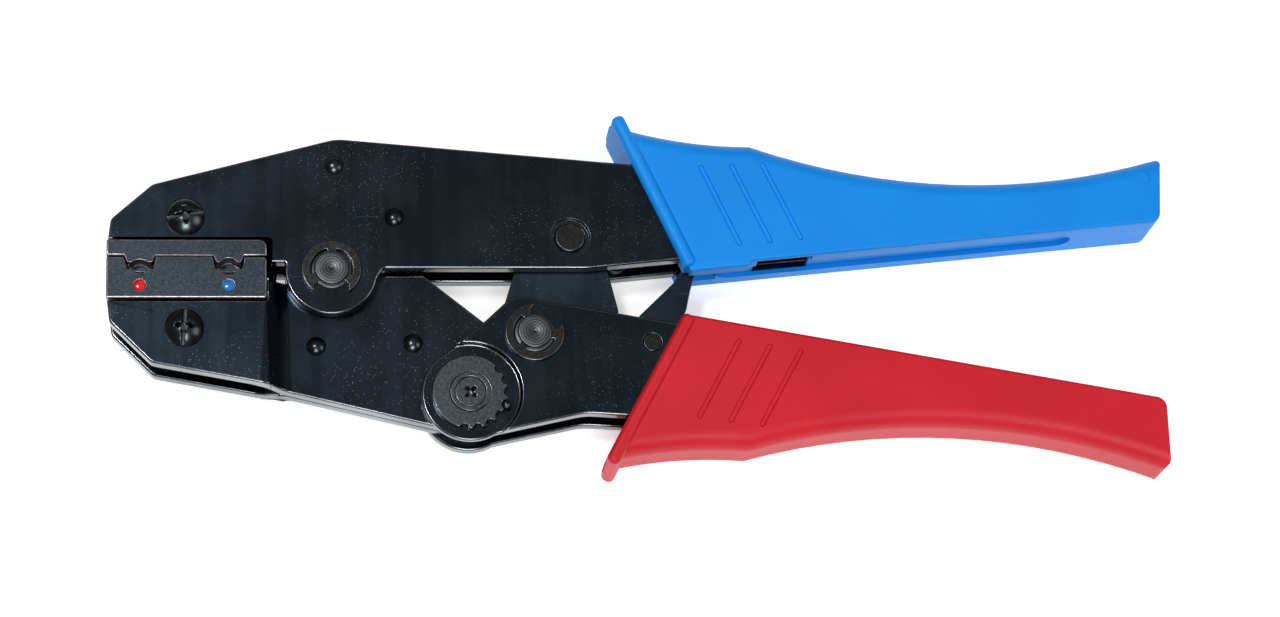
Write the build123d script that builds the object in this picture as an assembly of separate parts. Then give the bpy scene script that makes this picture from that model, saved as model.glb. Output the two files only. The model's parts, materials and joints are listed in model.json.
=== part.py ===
from build123d import *
import math
import os

# Ratcheting crimp pliers lying on their side.
# X runs from the jaws (-X) to the handle ends (+X), Y points towards the fixed handle,
# Z is the thickness. The origin is on the main pivot axis, at the plane the tool rests on.
# Outlines are drawn about the main pivot; heights are measured from the middle of the
# thickness, and every finished piece is lifted by REST_HEIGHT at the end.

# ---- Driving dimensions, mm ----
REST_HEIGHT = 8.2          # middle of the thickness above the resting plane
CORE = 3.0                 # half thickness of the pieces between the outer plates
SIDE_PLAY = 0.2            # play between the core and the outer plates
PLATE_IN = CORE + SIDE_PLAY
FRAME_PLATE = 3.0          # thickness of a fixed frame plate and of a jaw plate
FRAME_OUT = PLATE_IN + FRAME_PLATE
HANDLE_PLATE = 2.8
HANDLE_OUT = PLATE_IN + HANDLE_PLATE
DIE_OUT = 7.0              # half thickness of the die blocks
GRIP_FACE = 7.2            # half thickness of a grip behind its bead
GRIP_CAVITY = FRAME_OUT + 0.1
BEAD_OUT = REST_HEIGHT

# Pivots, seen along Z.
MAIN = (0.0, 0.0)
JAW_HANDLE = (27.8, -25.8)
HANDLE_LINK = (41.0, -13.4)
LINK_FRAME = (48.7, 7.0)
PAWL = (65.0, -15.4)

PIN_R = 3.5                # main pivot pin and handle link pin
ADJUSTER_R = 4.1
FRAME_LINK_PIN_R = 3.1
PAWL_PIN_R = 1.9
RUNNING = 0.05             # radial clearance of a pin in a piece that turns on it
SNUG = 0.02                # radial clearance of a pin in a piece that holds it
LINK_SLACK = 1.2           # the link's eye clears the handle link pin by this much
PIN_END = 1.6              # a pin's end stands this far out of its plate

CLIP_OUTER_R = 6.0
CLIP_INNER_R = 4.3
CLIP_THICK = 0.9
GROOVE_R = 3.05
RIVET_SHANK_R = 1.3
RIVET_HEAD_R = 2.0
RIVET_HEAD = 1.0
DIE_SCREW_R = 1.95
DIE_SCREW_HEAD_R = 3.9
DIE_SCREW_HEAD = 2.3
DIE_SCREW_SLOT = 0.7
DIE_SCREW_SLOT_DEPTH = 1.35
UPPER_SCREW_TURN = 10.0
LOWER_SCREW_TURN = 86.0

# Grips: each has its own frame, u along the inner edge and v outwards from it.
FIXED_GRIP_AT = (72.0, 0.3)
FIXED_GRIP_TURN = 5.8
MOVING_GRIP_AT = (71.5, -9.5)
MOVING_GRIP_TURN = -10.4
GRIP_LENGTH = 101.0
GRIP_TIP = (-11.0, 33.2)
GRIP_SHOULDER = (17.5, 25.7)
GRIP_WAIST = (60.0, 13.2)
GRIP_HEEL = (103.6, 14.6)
BEAD_WIDTH = 2.8
SLOT_WIDTH = 5.6
SLOT_END = 83.0
MOUTH_HALF = 3.1           # the open front of the slot, which the pawl's lever enters
MOUTH_END = 7.5
WINDOW_U = 21.2
WINDOW_LENGTH = 11.6
WINDOW_WIDTH = 5.6
TANG_INSET = 2.0
TANG_END = 88.0

JOGGLE_START = -14.2
JOGGLE_END = -10.2


# ---- Small helpers ----
def rounded_face(*corners):
    """A face from (x, y, radius) corners, in order."""
    points = [(x, y) for x, y, _ in corners]
    radii = [r for _, _, r in corners]
    return make_face(FilletPolyline(*points, radius=radii, close=True))


def disc(centre, radius):
    """A round face about a point."""
    return Pos(*centre) * Circle(radius).face()


def slab(face, low, high):
    """The face made solid from one height to another."""
    return extrude(Pos(0, 0, low) * face, high - low, dir=(0, 0, 1))


def rod(centre, radius, low, high):
    """A round bar parallel to Z."""
    return slab(disc(centre, radius), low, high)


def dome(centre, radius, base, height):
    """A low round head that stands on a plane; a negative height hangs below it."""
    rise = abs(height)
    ball_r = (radius * radius + rise * rise) / (2 * rise)
    up = 1 if height > 0 else -1
    ball = Pos(centre[0], centre[1], base + up * (rise - ball_r)) * Sphere(ball_r)
    low, high = sorted((base, base + 2 * height))
    return ball & rod(centre, radius + 1, low, high)


def cross_recess(centre, size, top, depth, turn):
    """The tapered cross in a screw head, turned about the screw's axis."""
    arms = []
    for quarter in (0, 90):
        blade = Rectangle(size, size * 0.24).face()
        tip = Rectangle(size * 0.35, size * 0.2).face()
        arm = loft([blade, Pos(0, 0, -depth) * tip])
        arms.append(Pos(centre[0], centre[1], top) * Rot(0, 0, turn + quarter) * arm)
    return arms[0] + arms[1]


def polar(centre, radius, degrees):
    """The point at a distance and direction from a centre."""
    angle = math.radians(degrees)
    return (centre[0] + radius * math.cos(angle), centre[1] + radius * math.sin(angle))


def fixed_grip_frame():
    """The fixed grip's own frame."""
    return Pos(*FIXED_GRIP_AT) * Rot(0, 0, FIXED_GRIP_TURN)


def in_fixed_grip(u, v):
    """A point of the fixed grip's frame, about the main pivot."""
    turn = math.radians(FIXED_GRIP_TURN)
    x = FIXED_GRIP_AT[0] + u * math.cos(turn) - v * math.sin(turn)
    y = FIXED_GRIP_AT[1] + u * math.sin(turn) + v * math.cos(turn)
    return (x, y)


def in_moving_grip(u, v):
    """A point of the moving grip's frame, about the main pivot; v points down."""
    turn = math.radians(MOVING_GRIP_TURN)
    x = MOVING_GRIP_AT[0] + u * math.cos(turn) + v * math.sin(turn)
    y = MOVING_GRIP_AT[1] + u * math.sin(turn) - v * math.cos(turn)
    return (x, y)


# ---- Fixed frame ----
BOSS_R = 9.4
FRAME_RIVETS = [(0.6, 22.4), (12.8, 11.2)]
UPPER_DIE_SCREW = (-29.5, 11.2)
LOWER_DIE_SCREW = (-29.5, -12.4)
TANG_RIVET_U = 78.0
TANG_RIVET_V = 5.8
SPRING_ANCHOR_UV = (24.0, 6.4)


def frame_plate_face():
    """One side of the fixed frame: jaw, pivot boss and the tang inside the grip."""
    body = rounded_face(
        (-45.0, 6.5, 0.3),
        (-44.5, 10.8, 2.0),
        (-36.2, 18.3, 3.0),
        (1.0, 28.3, 10.0),
        (62.0, 23.0, 20.0),
        (*in_fixed_grip(20, 20.0), 20.0),
        (*in_fixed_grip(58, 10.6), 40.0),
        (*in_fixed_grip(TANG_END, 9.4), 2.0),
        (*in_fixed_grip(TANG_END, TANG_INSET), 1.0),
        (52.0, 0.35, 20.0),
        (10.6, 0.35, 1.2),
        (9.2, -1.6, 0.3),
        (0.0, 2.0, 1.0),
        (-8.8, 1.6, 0.3),
        (-12.3, 1.6, 0.4),
        (-12.3, 6.5, 0.6),
    )
    holes = disc(MAIN, PIN_R + SNUG) + disc(LINK_FRAME, FRAME_LINK_PIN_R + SNUG)
    holes += disc(UPPER_DIE_SCREW, DIE_SCREW_R + SNUG)
    for centre in FRAME_RIVETS + [in_fixed_grip(TANG_RIVET_U, TANG_RIVET_V)]:
        holes += disc(centre, RIVET_SHANK_R + SNUG)
    holes += disc(in_fixed_grip(*SPRING_ANCHOR_UV), RIVET_SHANK_R + SNUG)
    return body + disc(MAIN, BOSS_R) - holes


def frame_plate(side):
    """The front (+1) or rear (-1) frame plate, countersunk for the link pivot."""
    low, high = sorted((side * PLATE_IN, side * FRAME_OUT))
    plate = slab(frame_plate_face(), low, high)
    sink = rod(LINK_FRAME, 4.1, *sorted((side * (FRAME_OUT - 0.7), side * (FRAME_OUT + 1))))
    return plate - sink


def frame_spacer():
    """The block that keeps the frame plates apart above the main pivot."""
    face = rounded_face(
        (-16.0, 22.6, 0.5),
        (-13.0, 12.0, 2.0),
        (8.4, 12.0, 1.0),
        (9.4, 7.6, 1.5),
        (16.2, 7.6, 1.5),
        (17.0, 15.0, 3.0),
        (14.0, 26.0, 1.0),
        (1.0, 27.2, 8.0),
    )
    for centre in FRAME_RIVETS:
        face -= disc(centre, RIVET_SHANK_R + SNUG)
    return slab(face, -PLATE_IN, PLATE_IN)


def rivet(centre, seat, shank_r=RIVET_SHANK_R, head_r=RIVET_HEAD_R, head=RIVET_HEAD):
    """A rivet with a domed head on each face of what it holds."""
    shank = rod(centre, shank_r, -seat, seat)
    return shank + dome(centre, head_r, seat, head) + dome(centre, head_r, -seat, -head)


def tang_rivet(centre, seat):
    """A flat rivet at the far end of a pair of plates, hidden by the grip."""
    return rod(centre, RIVET_SHANK_R, -seat, seat)


def tang_spacer(centre):
    """A sleeve that keeps a pair of plates apart inside the grip."""
    ring = disc(centre, 2.6) - disc(centre, RIVET_SHANK_R + SNUG)
    return slab(ring, -PLATE_IN, PLATE_IN)


# ---- Dies ----
DIE_LEFT = -45.2
DIE_RIGHT = -13.0
DIE_HALF_HEIGHT = 6.2
DIE_PARTING = 2.6
DIE_PLAY = 0.12
NEST_CENTRES = [-38.5, -20.7]
NEST_SIZES = [(2.0, 1.45), (2.0, 1.8)]
NEST_Y = 0.4
POCKET_TOP_HALF = 3.5
POCKET_FLOOR_HALF = 2.7
POCKET_FLOOR = -0.2
TOOTH_END = 1.3
NEST_STEP_Z = 3.4
DOT_Y = -3.6
DOT_R = 1.25


def die_tongue(screw, toward):
    """The narrow part of a die that goes between the plates and takes the screw."""
    root = toward * (DIE_HALF_HEIGHT - 0.6)
    tip = toward * 17.4
    face = rounded_face(
        (-38.5, root, 0.2),
        (-20.5, root, 0.2),
        (-21.5, tip, 2.0),
        (-35.5, tip, 2.0),
    )
    return slab(face - disc(screw, DIE_SCREW_R + SNUG), -CORE, CORE)


def pocket_face(x, top_half, floor_half, floor, top):
    """A trapezoid pocket or tooth about a nest."""
    return rounded_face(
        (x - top_half, top, 0.3),
        (x + top_half, top, 0.3),
        (x + floor_half, floor, 0.4),
        (x - floor_half, floor, 0.4),
    )


def nest_face(index):
    """The oval mouth of one crimp nest."""
    width, height = NEST_SIZES[index]
    return Pos(NEST_CENTRES[index], NEST_Y) * Ellipse(width, height).face()


def bevel_die(block, back_y):
    """Bevels a die block round its outer rim, front and rear, clear of the nests."""
    rim = []
    for edge in block.edges().group_by(Axis.Z)[0] + block.edges().group_by(Axis.Z)[-1]:
        if abs((edge @ 0.5).Y - back_y) < 1.0:
            rim.append(edge)
    return chamfer(rim, 0.2)


def upper_die():
    """The fixed die: a block with a tooth and half a nest for each terminal size."""
    face = rounded_face(
        (DIE_LEFT, DIE_PARTING + DIE_PLAY, 0.2),
        (DIE_RIGHT, DIE_PARTING + DIE_PLAY, 0.2),
        (DIE_RIGHT, DIE_HALF_HEIGHT, 1.6),
        (DIE_LEFT, DIE_HALF_HEIGHT, 0.3),
    )
    inner = face
    for index, x in enumerate(NEST_CENTRES):
        face += pocket_face(x, 3.3, 2.5, TOOTH_END, DIE_PARTING + 1)
        face -= nest_face(index)
        inner += pocket_face(x, 3.3, 2.0, NEST_Y - 0.1, DIE_PARTING + 1)
    block = slab(face, NEST_STEP_Z, DIE_OUT) + slab(inner, -NEST_STEP_Z, NEST_STEP_Z)
    block += slab(face, -DIE_OUT, -NEST_STEP_Z)
    return bevel_die(block, DIE_HALF_HEIGHT) + die_tongue(UPPER_DIE_SCREW, 1)


def lower_die():
    """The moving die: a block with a pocket and half a nest for each terminal size."""
    face = rounded_face(
        (DIE_LEFT, -DIE_HALF_HEIGHT, 0.3),
        (DIE_RIGHT, -DIE_HALF_HEIGHT, 0.6),
        (DIE_RIGHT, DIE_PARTING - DIE_PLAY, 0.8),
        (DIE_LEFT, DIE_PARTING - DIE_PLAY, 0.2),
    )
    inner = face
    for index, x in enumerate(NEST_CENTRES):
        pocket = pocket_face(x, POCKET_TOP_HALF, POCKET_FLOOR_HALF, POCKET_FLOOR, DIE_PARTING + 1)
        face -= pocket
        face -= nest_face(index)
        inner -= pocket
        inner -= Pos(x, POCKET_FLOOR) * Ellipse(1.6, 0.6).face()
    block = slab(face, NEST_STEP_Z, DIE_OUT) + slab(inner, -NEST_STEP_Z, NEST_STEP_Z)
    block += slab(face, -DIE_OUT, -NEST_STEP_Z)
    block = bevel_die(block, -DIE_HALF_HEIGHT)
    for x in NEST_CENTRES:
        block -= rod((x, DOT_Y), DOT_R, DIE_OUT - 0.3, DIE_OUT + 1)
    return block + die_tongue(LOWER_DIE_SCREW, -1)


def size_dot(index):
    """A drop of enamel in its dimple, which marks the nest's terminal size."""
    centre = (NEST_CENTRES[index], DOT_Y)
    return rod(centre, DOT_R - SNUG, DIE_OUT - 0.28, DIE_OUT) + dome(centre, DOT_R - SNUG, DIE_OUT, 0.25)


def die_screw(centre, turn):
    """A slotted cross-head screw through the front plate and the die's tongue."""
    top = FRAME_OUT + DIE_SCREW_HEAD
    head = dome(centre, DIE_SCREW_HEAD_R, FRAME_OUT + 0.6, DIE_SCREW_HEAD - 0.6)
    head += rod(centre, DIE_SCREW_HEAD_R, FRAME_OUT, FRAME_OUT + 0.6)
    head -= cross_recess(centre, 4.2, top, 1.7, turn)
    slot = Box(2 * DIE_SCREW_HEAD_R + 1, DIE_SCREW_SLOT, 2 * DIE_SCREW_SLOT_DEPTH)
    head -= Pos(*centre, top) * Rot(0, 0, turn) * slot
    return head + rod(centre, DIE_SCREW_R, -FRAME_OUT, FRAME_OUT)


# ---- Moving jaw ----
JAW_RIVETS = [(-3.1, -15.3), (16.4, -14.7)]
JAW_BOSS_R = 9.0
JAW_EYE_R = 7.8


def jaw_face():
    """The moving jaw seen along Z, from the nose to the eye round the adjuster pin."""
    body = rounded_face(
        (-45.0, -6.5, 0.3),
        (-44.5, -11.0, 2.0),
        (-36.0, -19.6, 2.5),
        (-12.0, -24.2, 20.0),
        (25.4, -33.3, 1.0),
        (34.8, -29.0, 3.0),
        (31.6, -10.7, 2.0),
        (18.7, -0.2, 1.2),
        (8.8, -0.2, 0.5),
        (0.0, 2.0, 1.0),
        (-8.8, -2.0, 0.3),
        (-13.0, -2.0, 0.3),
        (-12.95, -6.5, 0.5),
    )
    holes = disc(MAIN, PIN_R + RUNNING) + disc(JAW_HANDLE, ADJUSTER_R + RUNNING)
    holes += disc(LOWER_DIE_SCREW, DIE_SCREW_R + SNUG)
    for centre in JAW_RIVETS:
        holes += disc(centre, RIVET_SHANK_R + SNUG)
    return body + disc(MAIN, JAW_BOSS_R) + disc(JAW_HANDLE, JAW_EYE_R) - holes


def joggled_strip():
    """Side profile of a jaw plate: out at the nose, in at the middle behind the bend."""
    profile = make_face(Polyline(
        (-60.0, PLATE_IN),
        (JOGGLE_START, PLATE_IN),
        (JOGGLE_END, 0.0),
        (60.0, 0.0),
        (60.0, CORE),
        (JOGGLE_END + 1.0, CORE),
        (JOGGLE_START + 1.0, FRAME_OUT),
        (-60.0, FRAME_OUT),
        close=True,
    ))
    return extrude(Pos(0, 60, 0) * Rot(90, 0, 0) * profile, 120)


def jaw_plate(side):
    """The front (+1) or rear (-1) plate of the moving jaw, with its bend."""
    plate = slab(jaw_face(), -1, FRAME_OUT + 1) & joggled_strip()
    return plate if side > 0 else mirror(plate, Plane.XY)


# ---- Moving handle ----
WHEEL_R = 7.6
WHEEL_RECESS_R = 10.4
WHEEL_FLOOR = HANDLE_OUT - 1.2
WHEEL_THICK = 1.4
NOTCH_R = 1.0
NOTCH_STEP = 20
LOCK_SCREW_ANGLE = -20
HANDLE_END_R = 9.8
LOCK_SCREW = polar(JAW_HANDLE, WHEEL_R + 0.15, LOCK_SCREW_ANGLE)
LOCK_SHANK_R = 0.75


def handle_plate_face():
    """One side of the moving handle, from the round end to the tang in the grip."""
    body = rounded_face(
        (30.9, -10.9, 30.0),
        (36.8, -5.3, 3.5),
        (*in_moving_grip(0, TANG_INSET), 90.0),
        (*in_moving_grip(TANG_END, TANG_INSET), 1.0),
        (*in_moving_grip(TANG_END, 9.4), 2.0),
        (*in_moving_grip(58, 10.4), 30.0),
        (*in_moving_grip(16, 20.4), 10.0),
        (51.0, -30.3, 12.0),
        (27.0, -35.55, 0.5),
        (20.4, -19.4, 0.5),
    )
    holes = disc(JAW_HANDLE, ADJUSTER_R + SNUG) + disc(HANDLE_LINK, PIN_R + SNUG)
    holes += disc(PAWL, PAWL_PIN_R + SNUG)
    holes += disc(in_moving_grip(TANG_RIVET_U, TANG_RIVET_V), RIVET_SHANK_R + SNUG)
    holes += disc(in_moving_grip(*PAWL_ANCHOR_UV), RIVET_SHANK_R + SNUG)
    return body + disc(JAW_HANDLE, HANDLE_END_R) - holes


def handle_plate(side):
    """The front plate carries the adjuster's recess and its lock screw hole."""
    low, high = sorted((side * PLATE_IN, side * HANDLE_OUT))
    plate = slab(handle_plate_face(), low, high)
    if side > 0:
        plate -= rod(JAW_HANDLE, WHEEL_RECESS_R, WHEEL_FLOOR, HANDLE_OUT + 1)
        plate -= rod(LOCK_SCREW, LOCK_SHANK_R + SNUG, 0, HANDLE_OUT)
    return plate


def adjuster_pin():
    """The eccentric pin that the jaw and the handle turn on."""
    pin = rod(JAW_HANDLE, ADJUSTER_R, -HANDLE_OUT, WHEEL_FLOOR + WHEEL_THICK + 0.3)
    pin += rod(JAW_HANDLE, 5.6, -HANDLE_OUT - 1.6, -HANDLE_OUT)
    return pin - rod(JAW_HANDLE, 3.15, 1.0, HANDLE_OUT + 2)


def adjuster_wheel():
    """The notched wheel on the eccentric pin, round on the side away from the notches."""
    face = disc(JAW_HANDLE, WHEEL_R) - disc(JAW_HANDLE, ADJUSTER_R + SNUG)
    for step in range(-4, 4):
        angle = LOCK_SCREW_ANGLE + step * NOTCH_STEP
        face -= disc(polar(JAW_HANDLE, WHEEL_R + 0.15, angle), NOTCH_R)
    return slab(face, WHEEL_FLOOR, WHEEL_FLOOR + WHEEL_THICK)


def adjuster_screw():
    """The cross-head screw that holds the wheel on the pin."""
    top = WHEEL_FLOOR + WHEEL_THICK + 0.1
    screw = rod(JAW_HANDLE, 3.1, 1.2, top)
    return screw - cross_recess(JAW_HANDLE, 3.0, top, 1.5, 45)


def lock_screw():
    """The small screw in one notch that stops the wheel from turning."""
    shank = rod(LOCK_SCREW, LOCK_SHANK_R, PLATE_IN, WHEEL_FLOOR + 1.0)
    return shank + dome(LOCK_SCREW, 0.92, WHEEL_FLOOR + 1.0, 0.5)


# ---- Pins and clips ----
def headed_pin(centre, plate_out, head_out):
    """A pivot pin with a flat head at the rear and a clip groove at the front."""
    pin = rod(centre, PIN_R, -plate_out, plate_out)
    pin += rod(centre, 5.2, -head_out, -plate_out)
    pin += rod(centre, GROOVE_R - 0.05, plate_out, plate_out + CLIP_THICK + 0.1)
    cap = rod(centre, PIN_R, plate_out + CLIP_THICK + 0.1, plate_out + PIN_END)
    return pin + chamfer(cap.edges().sort_by(Axis.Z)[-1], 0.3)


def retaining_clip(centre, seat, opening_at):
    """A flat spring clip with three prongs that reach into the pin's groove."""
    face = disc(centre, CLIP_OUTER_R) - disc(centre, CLIP_INNER_R)
    for angle in (180, 60, -60):
        reach = Rectangle(CLIP_INNER_R + 0.3 - GROOVE_R, 1.9).face()
        middle = (CLIP_INNER_R + 0.3 + GROOVE_R) / 2
        face += Pos(*centre) * Rot(0, 0, opening_at + angle) * Pos(middle, 0) * reach
    mouth = Pos(*centre) * Rot(0, 0, opening_at) * Pos(CLIP_OUTER_R, 0) * Rectangle(5.6, 7.0).face()
    face -= disc(centre, GROOVE_R)
    return slab(face - mouth, seat + 0.02, seat + CLIP_THICK)


def link_frame_pin():
    """The riveted pin that the link hangs on, staked flush in both frame plates."""
    pin = rod(LINK_FRAME, FRAME_LINK_PIN_R, -FRAME_OUT - 0.2, FRAME_OUT + 0.2)
    return chamfer(pin.edges().filter_by(GeomType.CIRCLE), 0.25)


# ---- Toggle link, pawl and springs ----
RETURN_STUD = (58.6, 4.6)
RETURN_COIL_R = 2.1
RETURN_WIRE_R = 0.4
PAWL_STUD = (66.2, -21.2)
PAWL_COIL_R = 2.0
PAWL_WIRE_R = 0.3
SHANK_SWELL = 1.03         # the straight wire at each end is this much thicker than the coil
EYE_PLAY = 0.5             # play of a spring's eye in its slot, on each face
TOOTH_TIP_R = 17.4
TOOTH_ROOT_R = 16.3
TOOTH_FROM = -16
TOOTH_TO = -68
TOOTH_COUNT = 13
LINK_HUB_R = 7.6
PAWL_NOSE_GAP = 1.6
PAWL_THICK = 2.7
PAWL_ANCHOR_UV = (14.0, 9.0)


def ratchet_sector():
    """The toothed sector of the link, about the handle link pin."""
    step = (TOOTH_TO - TOOTH_FROM) / TOOTH_COUNT
    rim = [HANDLE_LINK]
    for tooth in range(TOOTH_COUNT):
        rim.append(polar(HANDLE_LINK, TOOTH_ROOT_R, TOOTH_FROM + step * tooth))
        rim.append(polar(HANDLE_LINK, TOOTH_TIP_R, TOOTH_FROM + step * (tooth + 0.5)))
    rim.append(polar(HANDLE_LINK, TOOTH_ROOT_R, TOOTH_TO))
    return make_face(Polyline(*rim, close=True))


def eye_slot(stud, reach, stud_r, half_width):
    """The slot in the middle plane that a spring's eye enters, round the stud it hooks on."""
    return slab(disc(stud, reach) - disc(stud, stud_r), -half_width, half_width)


def toggle_link():
    """The link from the frame to the handle, with the ratchet on its free side."""
    web = rounded_face(
        (40.4, 10.0, 4.0),
        (34.6, -8.2, 5.0),
        (36.0, -19.0, 4.0),
        (50.0, -16.0, 3.0),
        (57.9, -12.0, 1.0),
        (58.6, -7.8, 1.5),
        (56.2, 2.4, 4.0),
        (56.6, 10.0, 5.0),
        (48.7, 15.4, 5.0),
    )
    body = web + disc(HANDLE_LINK, LINK_HUB_R) + disc(LINK_FRAME, 8.6) + ratchet_sector()
    body -= disc(LINK_FRAME, FRAME_LINK_PIN_R + RUNNING)
    body += disc(RETURN_STUD, 2.8)
    body -= disc(HANDLE_LINK, PIN_R + LINK_SLACK)
    return slab(body, -CORE, CORE) - eye_slot(RETURN_STUD, 4.2, 0.9, RETURN_WIRE_R + EYE_PLAY)


def ratchet_pawl():
    """The pawl on its pin: a nose towards the ratchet, and the release lever."""
    to_link = math.degrees(math.atan2(HANDLE_LINK[1] - PAWL[1], HANDLE_LINK[0] - PAWL[0]))
    reach = math.dist(HANDLE_LINK, PAWL) - TOOTH_TIP_R - PAWL_NOSE_GAP
    tip = polar(PAWL, reach, to_link)
    nose = rounded_face(
        (*polar(PAWL, 3.2, to_link + 90), 0.5),
        (*tip, 0.4),
        (*polar(PAWL, 3.2, to_link - 90), 0.5),
    )
    lever = rounded_face(
        (62.0, -13.6, 1.0),
        (62.6, -9.0, 2.0),
        (70.2, -1.6, 8.0),
        (72.6, 2.0, 1.0),
        (74.9, 1.4, 0.9),
        (73.4, -4.0, 8.0),
        (72.6, -7.6, 2.0),
        (68.6, -14.6, 2.0),
    )
    tail = rounded_face(
        (62.6, -16.5, 0.5),
        (67.6, -16.5, 0.5),
        (68.2, -21.2, 0.5),
        (64.2, -21.2, 0.5),
    )
    body = nose + lever + tail + disc(PAWL, 3.9) + disc(PAWL_STUD, 2.0)
    body -= disc(PAWL, PAWL_PIN_R + RUNNING)
    pawl = slab(body, -PAWL_THICK, PAWL_THICK)
    return pawl - eye_slot(PAWL_STUD, 3.6, 0.6, PAWL_WIRE_R + EYE_PLAY)


def pawl_pin():
    """The plain pin that the pawl turns on."""
    pin = rod(PAWL, PAWL_PIN_R, -HANDLE_OUT, HANDLE_OUT)
    return chamfer(pin.edges().filter_by(GeomType.CIRCLE), 0.2)


def anchor_pin(centre, seat):
    """A small pin across the plates that a spring hooks over."""
    return rod(centre, RIVET_SHANK_R, -seat, seat)


def extension_spring(start, end, coil_r, wire_r, pitch):
    """A spring in the middle plane with a round eye over a pin at each end."""
    span = math.dist(start, end)
    turn = math.degrees(math.atan2(end[1] - start[1], end[0] - start[0]))
    shank = 2.4 * coil_r
    turns = round((span - 2 * shank) / pitch)
    path = Helix(pitch=(span - 2 * shank) / turns, height=span - 2 * shank, radius=coil_r)
    section = Plane(origin=path @ 0, z_dir=path % 0) * Circle(wire_r)
    coil = sweep(section, path=path, is_frenet=True)
    spring = Pos(shank, 0) * Rot(0, 90, 0) * Rot(0, 0, 90) * coil
    for eye_x, rod_x in ((0, 0), (span, span - shank)):
        eye = Pos(eye_x, 0) * Torus(coil_r, wire_r)
        wire = Pos(rod_x + shank / 2, coil_r) * Rot(0, 90, 0) * Cylinder(SHANK_SWELL * wire_r, shank)
        spring += eye + wire
    return Pos(*start) * Rot(0, 0, turn) * spring


# ---- Grips ----
def grip_face():
    """The outline of a grip in its own frame."""
    edge = Curve() + [
        Line((0, 0), (GRIP_LENGTH, 0)),
        Line((GRIP_LENGTH, 0), GRIP_HEEL),
        ThreePointArc(GRIP_HEEL, GRIP_WAIST, GRIP_SHOULDER),
        ThreePointArc(GRIP_SHOULDER, (3.0, 28.3), GRIP_TIP),
        Line(GRIP_TIP, (0, 0)),
    ]
    face = make_face(edge)
    heel = face.vertices().sort_by(Axis.X)[-2:]
    face = fillet(heel, 1.8)
    return fillet(face.vertices().sort_by(Axis.X)[0], 1.2)


def grip_bead():
    """The half-round bead along the front edge of a grip."""
    length = math.dist((0, 0), GRIP_TIP)
    lean = math.degrees(math.atan2(GRIP_TIP[1], GRIP_TIP[0]))
    bar = Pos(length / 2, -BEAD_WIDTH / 2) * Box(length, BEAD_WIDTH, 2 * BEAD_OUT)
    rims = bar.edges().filter_by(Axis.X)
    bar = fillet(rims, BEAD_WIDTH * 0.42)
    bar = fillet(bar.edges().group_by(Axis.X)[-1], 0.7)
    return Rot(0, 0, lean) * bar


def grip_cavity():
    """The pocket that the pair of plates slides into."""
    face = rounded_face(
        (-16.0, TANG_INSET - 0.1, 0.3),
        (TANG_END + 0.5, TANG_INSET - 0.1, 0.3),
        (TANG_END + 0.5, 9.8, 1.0),
        (58.0, 10.9, 30.0),
        (18.0, 21.4, 10.0),
        (-16.0, 24.6, 0.3),
    )
    return slab(face, -GRIP_CAVITY, GRIP_CAVITY)


def grip_slots():
    """The long recess of the inner edge, its open mouth and its window."""
    centre = (MOUTH_END + SLOT_END) / 2
    recess = Pos(centre, 0) * SlotOverall(SLOT_END - MOUTH_END, SLOT_WIDTH).face()
    channel = extrude(Plane.XZ * recess, 1.0, both=True)
    mouth = Pos(MOUTH_END - 7.5, 2.0) * Box(15.0, 8.0, 2 * MOUTH_HALF)
    window = Pos(WINDOW_U, 1.0) * Box(WINDOW_LENGTH, 4.0, WINDOW_WIDTH)
    return channel + mouth + window


def grip_grooves(side):
    """The three slanted finger grooves of one face."""
    cuts = []
    for step in range(3):
        start = (6.2 + 6.4 * step, 21.6 - 0.3 * step)
        end = (12.2 + 6.4 * step, 3.4)
        mid = ((start[0] + end[0]) / 2, (start[1] + end[1]) / 2)
        turn = math.degrees(math.atan2(end[1] - start[1], end[0] - start[0]))
        slot = Pos(*mid) * Rot(0, 0, turn) * SlotOverall(math.dist(start, end), 0.9).face()
        cuts.append(slab(slot, *sorted((side * (GRIP_FACE - 0.45), side * (GRIP_FACE + 1)))))
    return cuts


def grip_shell():
    """A moulded grip in its own frame."""
    shell = slab(grip_face(), -GRIP_FACE, GRIP_FACE)
    rims = shell.edges().filter_by(Axis.Z, reverse=True)
    outer = [e for e in rims if (e @ 0.5).Y > 3 and (e @ 0.5).X > 4]
    shell = fillet(outer, 3.0)
    shell += grip_bead()
    shell -= grip_cavity()
    shell -= grip_slots()
    for side in (1, -1):
        for cut in grip_grooves(side):
            shell -= cut
    return shell


def fixed_grip():
    """The grip on the fixed frame's tang."""
    return fixed_grip_frame() * grip_shell()


def moving_grip():
    """The grip on the moving handle's tang, a mirror image of the fixed one."""
    turned = mirror(grip_shell(), Plane.XZ)
    return Pos(*MOVING_GRIP_AT) * Rot(0, 0, MOVING_GRIP_TURN) * turned


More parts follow.
